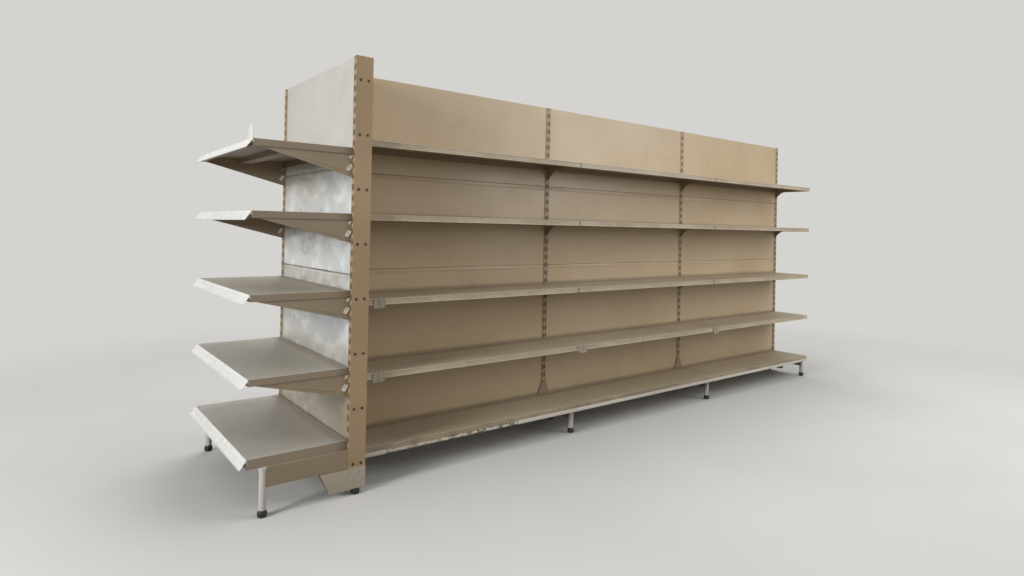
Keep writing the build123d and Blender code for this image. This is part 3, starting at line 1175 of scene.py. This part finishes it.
@dataclass(frozen=True)
class EndRails(Assembly):
    """The tall white price rails of the end unit, hung by a flange and tilted out, with blank inserts."""

    height: float = 0.047
    depth: float = 0.004
    back: float = 0.0015
    lip: float = 0.0030
    ridge: float = 0.0010
    ridge_share: float = 0.45
    fore_share: float = 0.3
    tip_share: float = 0.9
    flange: float = 0.018
    tilt: float = math.radians(36.0)
    round_off: float = 0.0006
    card_height: float = 0.0175
    card_thickness: float = 0.0004
    card_lengths: tuple[float, float] = (0.18, 0.48)
    card_gaps: tuple[float, float] = (0.002, 0.03)
    card_cuts: Triple = (0.55, 0.75, 0.9)
    card_curl: float = 0.001
    over_lip: float = 0.0012
    over_ridge: float = 0.0006
    seed: int = 5

    def _tilted(self) -> Matrix:
        """Gives the tilt of the channel, whose upper front edge stays level with the shelf."""
        sink = self.depth * math.sin(self.tilt)
        return Matrix.Translation((self.plan.end_edge, 0.0, -sink)) @ Matrix.Rotation(self.tilt, 4, "Y")

    def _channel(self) -> bpy.types.Object:
        """Models the channel: a back plate with two lips and a ridge, then tilts it.

        Returns:
            The channel.
        """
        half = self.plan.end_half
        low, middle, high = self.lip - self.height, -self.height / 2, -self.lip
        reach = self.depth - self.back
        bench = Bench.block("channel", (-self.back, -half, -self.height), (0.0, half, 0.0))
        bench.cuts(2, (low, high, middle - self.ridge, middle + self.ridge))
        bench.faces(0, -1, lambda spot: not low < spot.z < high).extrude((-reach, 0.0, 0.0))
        bench.faces(0, -1, lambda spot: abs(spot.z - middle) < self.ridge)
        bench.extrude((-reach * self.ridge_share, 0.0, 0.0))
        bench.edges(1, lambda spot: spot.x < -self.back - reach * self.fore_share).bevel(self.round_off, 2)
        return bench.done(30.0, self._tilted())

    def _flange(self) -> bpy.types.Object:
        """Models the flange on the shelf's folded front, with the head that joins it to the channel.

        Returns:
            The flange.
        """
        half, x = self.plan.end_half, self.plan.end_edge
        head, sink = self.depth * math.cos(self.tilt), self.depth * math.sin(self.tilt)
        bench = Bench.block("flange", (x - self.back, -half, -self.flange), (x, half, 0.0))
        bench.cuts(2, (-sink,))
        bench.faces(0, -1, lambda spot: spot.z > -sink).extrude((self.back - head, 0.0, 0.0))
        bench.edges(1, lambda spot: spot.z > -self.round_off and spot.x < x - head * self.tip_share)
        return bench.bevel(self.round_off, 2).done(30.0)

    def _card(self, length: float, low: float, start: float) -> bpy.types.Object:
        """Models one blank insert in a half of the channel, curled a little at one end.

        Args:
            length: Its length.
            low: The height of its lower edge in the channel.
            start: Where it starts along the channel.

        Returns:
            The insert.
        """
        back = -self.back
        corner = (back, length, low + self.card_height)
        bench = Bench.block("card", (back - self.card_thickness, 0.0, low), corner)
        bench.cuts(1, [length * share for share in self.card_cuts])

        def curled(spot: Vector) -> Vector:
            """Curls the far half outwards, and moves the insert to its start."""
            return spot + Vector((-self.card_curl * max(0.0, spot.y / length - 0.5) ** 2, start, 0.0))

        return bench.shape(curled).done(turn=self._tilted())

    def build(self) -> None:
        """Fits the rails and their inserts to the base shelf and the four above it."""
        plan = self.plan
        levels = (plan.end_base, *plan.end_levels)
        places = [at(0.0, 0.0, level) for level in levels]
        patterns = [(self._channel(), places), (self._flange(), places)]
        slot = "end_rail_plastic"
        self.set_out("white_price_rails", patterns, self.palette.end_rail, slot, "end_price_rails")
        dice = random.Random(self.seed)
        rows = (self.lip - self.height + self.over_lip, self.ridge - self.height / 2 + self.over_ridge)
        cards = []
        for place in places:
            for low in rows:
                start = -plan.end_half + dice.uniform(*self.card_gaps)
                length = dice.uniform(*self.card_lengths)
                while start + length < plan.end_half:
                    cards.append((self._card(length, low, start), [place]))
                    start += length + dice.uniform(*self.card_gaps)
                    length = dice.uniform(*self.card_lengths)
        self.set_out("end_rail_cards", cards, self.palette.insert, slot)


@dataclass(frozen=True)
class CornerTab(Assembly):
    """The milky plate that stands on the rail at the near front corner of the top shelf."""

    foot_width: float = 0.096
    head_width: float = 0.064
    height: float = 0.057
    sheet: float = 0.003
    bow: float = 0.0006
    corner: float = 0.006
    rounding: float = 0.0005
    sharp: float = 1.0
    cuts_up: tuple[float, ...] = (0.2, 0.4, 0.6, 0.8)
    cuts_across: Triple = (0.25, 0.5, 0.75)

    def build(self) -> None:
        """Cuts the plate to its slanting side and bows it a little."""
        plan = self.plan
        x, y, level = plan.end_edge, -plan.end_half, plan.end_levels[-1]
        slant = 1.0 - self.head_width / self.foot_width
        far_corner = (x, y + self.foot_width, level + self.height)
        bench = Bench.block("corner_tab", (x - self.sheet, y, level), far_corner)
        bench.edges(0, lambda spot: spot.z > level + self.height / 2).bevel(self.corner, 5)
        bench.cuts(2, [level + self.height * share for share in self.cuts_up])
        bench.cuts(1, [y + self.foot_width * share for share in self.cuts_across])

        def cut(spot: Vector) -> Vector:
            """Narrows the plate towards its top and bows it within its own thickness.

            Args:
                spot: A vertex's place.

            Returns:
                Its new place.
            """
            up = (spot.z - level) / self.height
            across = spot.y - y
            thin = self.bow * (math.sin(math.pi * across / self.foot_width) * up + 1.0 - up)
            face = spot.x if spot.x > x - self.sheet / 2 else spot.x + thin
            return Vector((face, y + across * (1.0 - slant * up), spot.z))

        bench.shape(cut)
        bench.pick("edge", lambda edge: len(edge.link_faces) == 2 and edge.calc_face_angle(0.0) > self.sharp)
        tab = bench.bevel(self.rounding, 2).done(40.0)
        patterns = [(tab, [Matrix.Identity(4)])]
        self.set_out("corner_tab", patterns, self.palette.tab, "end_rail_plastic", "end_corner_tab")


@dataclass(frozen=True)
class PanelHems(Assembly):
    """The folded hem along the top of each back panel, just under its seam."""

    height: float = 0.024
    proud: float = 0.0012
    sunk: float = 0.0002
    rounding: float = 0.00096
    joint: float = 0.001
    inset_ends: float = 0.0165

    def _hem(self, length: float) -> bpy.types.Object:
        """Models one hem along X, with its back on the plane Y zero and its top at Z zero.

        Args:
            length: Its length.

        Returns:
            The hem.
        """
        low = (-length / 2, -self.proud, -self.height)
        bench = Bench.block("hem", low, (length / 2, self.sunk, 0.0))
        bench.edges(where=lambda spot: spot.y < -self.proud / 2).bevel(self.rounding, 2)
        return bench.done(40.0)

    def build(self) -> None:
        """Hems the panels of both sides and of the end unit."""
        plan, palette = self.plan, self.palette
        bay = plan.bay - 2 * self.inset_ends
        end = 2 * (plan.end_post_y - self.inset_ends)
        front, back = plan.front_face + plan.panel_recess, plan.back_face - plan.panel_recess
        end_xs = [plan.end_face + plan.panel_recess]
        for side, length, xs, y, turn, finish, slot in (
            ("front", bay, plan.bay_xs, front, 0.0, palette.panel, "panel_paint"),
            ("back", bay, plan.bay_xs, back, 180.0, palette.panel, "panel_paint"),
            ("end", end, end_xs, 0.0, -90.0, palette.end_panel, "end_panel_paint"),
        ):
            places = [at(x, y, seam - self.joint, turn) for x in xs for seam in plan.seams]
            self.set_out(f"{side}_panel_hems", [(self._hem(length), places)], finish, slot)


@dataclass(frozen=True)
class LabelPockets(Assembly):
    """The grey label pockets that still hang over the front rails of the run."""

    width: float = 0.058
    height: float = 0.046
    thick: float = 0.0022
    rise: float = 0.0015
    sunk: float = 0.0002
    border: float = 0.0042
    corner: float = 0.0060
    groove: float = 0.0022
    groove_depth: float = 0.00176
    window_depth: float = 0.00088
    on_second: float = 0.030
    on_low: Triple = (0.034, 0.012, 0.008)

    def _pocket(self) -> bpy.types.Object:
        """Models one pocket: a frame with two sunk windows and a groove between, its back on Y zero.

        Returns:
            The pocket.
        """
        middle = self.width / 2
        bench = Bench.block("pocket", (0.0, -self.thick, -self.height), (self.width, 0.0, 0.0))
        bench.edges(1).bevel(self.corner, 4)
        bench.cuts(0, (middle - self.groove, middle + self.groove))
        bench.faces(1, -1, lambda spot: abs(spot.x - middle) < self.groove)
        bench.extrude((0.0, self.groove_depth, 0.0))
        bench.faces(1, -1, lambda spot: abs(spot.x - middle) > self.groove)
        return bench.inset(self.border).extrude((0.0, self.window_depth, 0.0)).done(30.0)

    def build(self) -> None:
        """Hangs the pockets on the rails where the photograph shows them."""
        plan = self.plan
        low, second = plan.run_levels[:2]
        starts = [x + plan.shelf_joint for x in plan.post_xs[:3]]
        spots = [(starts[0] + self.on_second, second)]
        spots += [(start + shift, low) for start, shift in zip(starts, self.on_low)]
        places = [at(x, plan.front_edge + self.sunk, level + self.rise) for x, level in spots]
        pocket = self._pocket()
        self.set_out("label_pockets", [(pocket, places)], self.palette.pocket, "run_rail_plastic")


@dataclass(frozen=True)
class RunCards(Assembly):
    """Blank paper cards left in the cream rails of the run."""

    lengths: tuple[float, float] = (0.035, 0.075)
    height: float = 0.021
    half_thickness: float = 0.0002
    spread: float = 0.42
    behind_edge: float = 0.0024
    under_shelf: float = 0.0035
    cuts_at: Triple = (0.3, 0.6, 0.85)
    flat_share: float = 0.4
    curls: tuple[float, float] = (0.0002, 0.0012)
    to_a_rail: int = 2
    seed: int = 12

    def _card(self, length: float, curl: float) -> bpy.types.Object:
        """Models one card along X, whose far end curls out of its channel.

        Args:
            length: Its length.
            curl: How far it curls, and to which side.

        Returns:
            The card.
        """
        thick = self.half_thickness
        bench = Bench.block("card", (0.0, -thick, -self.height), (length, thick, 0.0))
        bench.cuts(0, [length * share for share in self.cuts_at])

        def curled(spot: Vector) -> Vector:
            """Moves one point of the card."""
            return spot + Vector((0.0, curl * max(0.0, spot.x / length - self.flat_share), 0.0))

        return bench.shape(curled).done()

    def build(self) -> None:
        """Slips a few cards of different lengths into the channels of both sides."""
        plan = self.plan
        dice = random.Random(self.seed)
        for side, edge, inward in (("front", plan.front_edge, 1.0), ("back", plan.back_edge, -1.0)):
            cards = []
            for level in plan.run_levels:
                for bay_x in plan.bay_xs:
                    for _ in range(dice.randint(0, self.to_a_rail)):
                        length = dice.uniform(*self.lengths)
                        x = bay_x + dice.uniform(-self.spread, self.spread) * plan.bay
                        card = self._card(length, -inward * dice.uniform(*self.curls))
                        place = at(x, edge + inward * self.behind_edge, level - self.under_shelf)
                        cards.append((card, [place]))
            self.set_out(f"{side}_rail_cards", cards, self.palette.card, "run_rail_plastic")


@dataclass(frozen=True)
class EdgeStrip(Assembly):
    """The strip along the front of the base shelves, torn away for part of the first bay."""

    low: float = 0.137
    height: float = 0.020
    depth: float = 0.003
    rounding: float = 0.0010
    torn: tuple[float, float] = (-1.2666, -0.8316)
    first_left: float = 0.11
    last_left: float = 0.030
    remnants: tuple[tuple[float, float], ...] = (
        (0.150, 0.004), (0.128, 0.014), (0.070, 0.022), (0.062, 0.030), (0.040, 0.046), (0.092, 0.018),
        (0.050, 0.030),
    )
    step: float = 0.009
    pulls: tuple[float, float] = (0.05, 0.75)
    most_pull: float = 0.95
    end_pull: float = 0.5
    end_steepness: float = 6.0
    touch: float = 1e-5
    thinning: float = 0.45
    lift: float = 0.0006
    waves: float = 31.0
    seed: int = 3

    def _length(self, start: float, end: float) -> Bench:
        """Starts one length of strip."""
        y = self.plan.front_edge
        return Bench.block("strip", (start, y, self.low), (end, y + self.depth, self.low + self.height))

    def _whole(self, start: float, end: float) -> bpy.types.Object:
        """Models a whole length with rounded front edges."""
        bench = self._length(start, end).edges(where=lambda spot: spot.y < self.plan.front_edge + self.touch)
        return bench.bevel(self.rounding, 2).done(30.0)

    def _torn(self, start: float, end: float, dice: random.Random) -> bpy.types.Object:
        """Models one torn length: ragged above and below, curling away from the shelf.

        Args:
            start: Where it starts.
            end: Where it ends.
            dice: What its raggedness is drawn from.

        Returns:
            The length.
        """
        back = self.plan.front_edge + self.depth
        middle = self.low + self.height / 2
        count = max(2, round((end - start) / self.step))
        bench = self._length(start, end)
        bench.cuts(0, [start + (end - start) * n / count for n in range(1, count)])
        bench.cuts(2, (middle,))
        drawn = {}

        def tear(spot: Vector) -> Vector:
            """Draws the top and bottom edges in by chance, and more so towards the ends.

            Args:
                spot: A vertex's place.

            Returns:
                Its new place.
            """
            key = (round(spot.x, 4), spot.z > middle)
            if key not in drawn:
                drawn[key] = dice.uniform(*self.pulls)
            share = (spot.x - start) / (end - start)
            near_end = 1.0 - min(1.0, self.end_steepness * min(share, 1.0 - share))
            pull = min(self.most_pull, drawn[key] + self.end_pull * near_end)
            height = spot.z if abs(spot.z - middle) < self.touch else spot.z + (middle - spot.z) * pull
            lift = self.lift * math.sin(self.waves * spot.x) ** 2
            return Vector((spot.x, back - (back - spot.y) * self.thinning - lift, height))

        return bench.shape(tear).done(50.0)

    def build(self) -> None:
        """Fits whole strips to the bays, and remnants where the first bay's is torn."""
        plan = self.plan
        dice = random.Random(self.seed)
        half = (plan.bay - plan.shelf_joint) / 2
        first, end = plan.bay_xs[0], self.torn[1]
        start = first - half + self.first_left
        pieces = [self._whole(first - half, start), self._whole(end, first + half)]
        for length, gap in self.remnants:
            pieces.append(self._torn(start, start + length, dice))
            start += length + gap
        pieces.append(self._torn(end - self.last_left, end, dice))
        pieces += [self._whole(x - half, x + half) for x in plan.bay_xs[1:]]
        patterns = [(piece, [Matrix.Identity(4)]) for piece in pieces]
        finish, slot = self.palette.edge_strip, "edge_strip_plastic"
        self.set_out("front_edge_trim", patterns, finish, slot, "front_edge_strips")


@dataclass(frozen=True)
class Fixings(Assembly):
    """Bolts through the shoes and beams at the ends of the shelving, where they show."""

    washer: Rings = ((0.0082, 0.0), (0.0085, 0.0003), (0.0085, 0.0005), (0.0082, 0.0008))
    head: Rings = ((0.0062, 0.0008), (0.0062, 0.0018), (0.005332, 0.0026))
    head_border: float = 0.001736
    head_sunk: float = 0.0004
    shoe_half: float = 0.017
    aside: float = 0.022
    low: float = 0.072
    high: float = 0.104

    def build(self) -> None:
        """Puts bolts on the outer faces of the end unit's shoes and of the last shoe of the run."""
        plan = self.plan
        pair = ((-self.aside, self.low), (self.aside, self.low))
        places = []
        for sign in (-1.0, 1.0):
            face_on = Matrix.Rotation(math.radians(-90.0 * sign), 4, "X")
            y = sign * (plan.end_post_y + self.shoe_half)
            places += [at(plan.end_x + x, y, z) @ face_on for x, z in (*pair, (0.0, self.high))]
        side_on = Matrix.Rotation(math.radians(90.0), 4, "Y")
        last = plan.post_xs[-1] + self.shoe_half
        places += [at(last, plan.run_y + y, z) @ side_on for y, z in pair]
        washer = Bench.turned("washer", self.washer).done(30.0)
        head = Bench.turned("head", self.head, sides=6)
        top = self.head[-1][1]
        head.faces(2, 1, lambda spot: spot.z > top - self.head_sunk / 2)
        patterns = [(washer, places), (head.inset(self.head_border, -self.head_sunk).done(20.0), places)]
        self.set_out("shoe_bolts", patterns, self.palette.zinc, "zinc")


# The room


@dataclass(frozen=True)
class PhotoCamera:
    """The camera that took the photograph, found from the shelving's own edges, framed closer.

    The picture is cropped about the shelving by a longer lens and a small shift, which leaves the
    perspective as it was.
    """

    place: Triple = (-2.9821, -3.3360, 1.2250)
    yaw: float = 0.692
    pitch: float = 0.004
    roll: float = 0.020
    focal_pixels: float = 306.034
    frame_pixels: tuple[int, int] = (1024, 576)
    middle_pixels: tuple[float, float] = (492.0, 317.0)
    closer: float = 2.1
    sensor: float = 36.0

    def build(self) -> None:
        """Adds the camera and makes it the scene's."""
        level = Matrix.Rotation(-self.yaw, 4, "Z") @ Matrix.Rotation(math.pi / 2 + self.pitch, 4, "X")
        width, height = self.frame_pixels
        data = bpy.data.cameras.new("camera")
        data.sensor_fit = "HORIZONTAL"
        data.sensor_width = self.sensor
        data.lens = self.focal_pixels / width * self.sensor * self.closer
        data.shift_x = (self.middle_pixels[0] - width / 2) / width * self.closer
        data.shift_y = (height / 2 - self.middle_pixels[1]) / width * self.closer
        data.clip_start = 0.05
        data.clip_end = 100.0
        camera = bpy.data.objects.new("camera", data)
        camera.matrix_world = Matrix.Translation(self.place) @ level @ Matrix.Rotation(self.roll, 4, "Z")
        bpy.context.scene.collection.objects.link(camera)
        bpy.context.scene.camera = camera
        LOG.info("camera: %.2f mm lens", data.lens)


@dataclass(frozen=True)
class Lamp:
    """One soft square lamp."""

    name: str
    place: Triple
    aim: Triple
    size: float
    watts: float

    def build(self) -> None:
        """Hangs the lamp."""
        data = bpy.data.lights.new(self.name, "AREA")
        data.shape = "SQUARE"
        data.size = self.size
        data.energy = self.watts
        lamp = bpy.data.objects.new(self.name, data)
        turn = (Vector(self.aim) - Vector(self.place)).to_track_quat("-Z", "Y")
        lamp.matrix_world = Matrix.LocRotScale(Vector(self.place), turn, None)
        bpy.context.scene.collection.objects.link(lamp)


@dataclass(frozen=True)
class Studio:
    """A pale floor, a pale surround and soft lamps."""

    floor_size: float = 60.0
    floor_drop: float = 0.0005
    surround: Triple = srgb(212, 211, 208)
    sky_strength: float = 0.31
    lamps: tuple[Lamp, ...] = (
        Lamp("key lamp", (-7.5, -1.8, 2.5), (-1.0, 0.0, 0.9), 1.8, 265.0),
        Lamp("front lamp", (3.2, -4.3, 3.0), (0.9, 0.0, 1.1), 3.0, 112.0),
        Lamp("top lamp", (0.0, 0.5, 5.6), (0.0, 0.0, 1.0), 4.0, 120.0),
        Lamp("back lamp", (2.5, 7.0, 3.4), (0.2, 0.0, 0.9), 4.0, 130.0),
    )

    def _floor(self) -> None:
        """Lays the floor a hair below the feet."""
        lay_down()
        bpy.ops.mesh.primitive_plane_add(size=self.floor_size, location=(0.0, 0.0, -self.floor_drop))
        floor = bpy.context.active_object
        floor.name = "floor"
        bpy.ops.object.transform_apply(location=True, rotation=True, scale=True)
        paint = Backdrop("pale floor", srgb(226, 225, 222), srgb(220, 219, 215), self.surround)
        floor.data.materials.append(paint.material())

    def _sky(self) -> None:
        """Lights everything evenly, and shows the pale surround to the camera and in reflections."""
        world = bpy.data.worlds.new("studio")
        bpy.context.scene.world = world
        board = Board(world, self.surround)
        soft = board.add("Background", {"Color": (1.0, 1.0, 1.0), "Strength": self.sky_strength})
        pale = board.add("Background", {"Color": board.colour, "Strength": 1.0})
        mixed = board.add("MixShader", {0: board.seen(), 1: soft, 2: pale})
        board.end(mixed, "ShaderNodeOutputWorld")

    def build(self) -> None:
        """Builds the whole studio."""
        self._floor()
        self._sky()
        for lamp in self.lamps:
            lamp.build()
        bpy.context.scene.view_settings.view_transform = "Standard"


def main() -> None:
    """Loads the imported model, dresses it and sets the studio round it."""
    logging.basicConfig(level=logging.INFO, format="%(name)s: %(message)s")
    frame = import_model()
    plan = Layout()
    palette = Palette(plan)
    palette.paint(frame["nodes"])
    for kind in (
        Feet, LegCollars, BracketRibs, BracketClips, EndRails, CornerTab, PanelHems, LabelPockets, RunCards,
        EdgeStrip, Fixings,
    ):
        kind(plan, palette).build()
    Studio().build()
    PhotoCamera().build()
    lay_down()


if __name__ == "__main__":
    main()
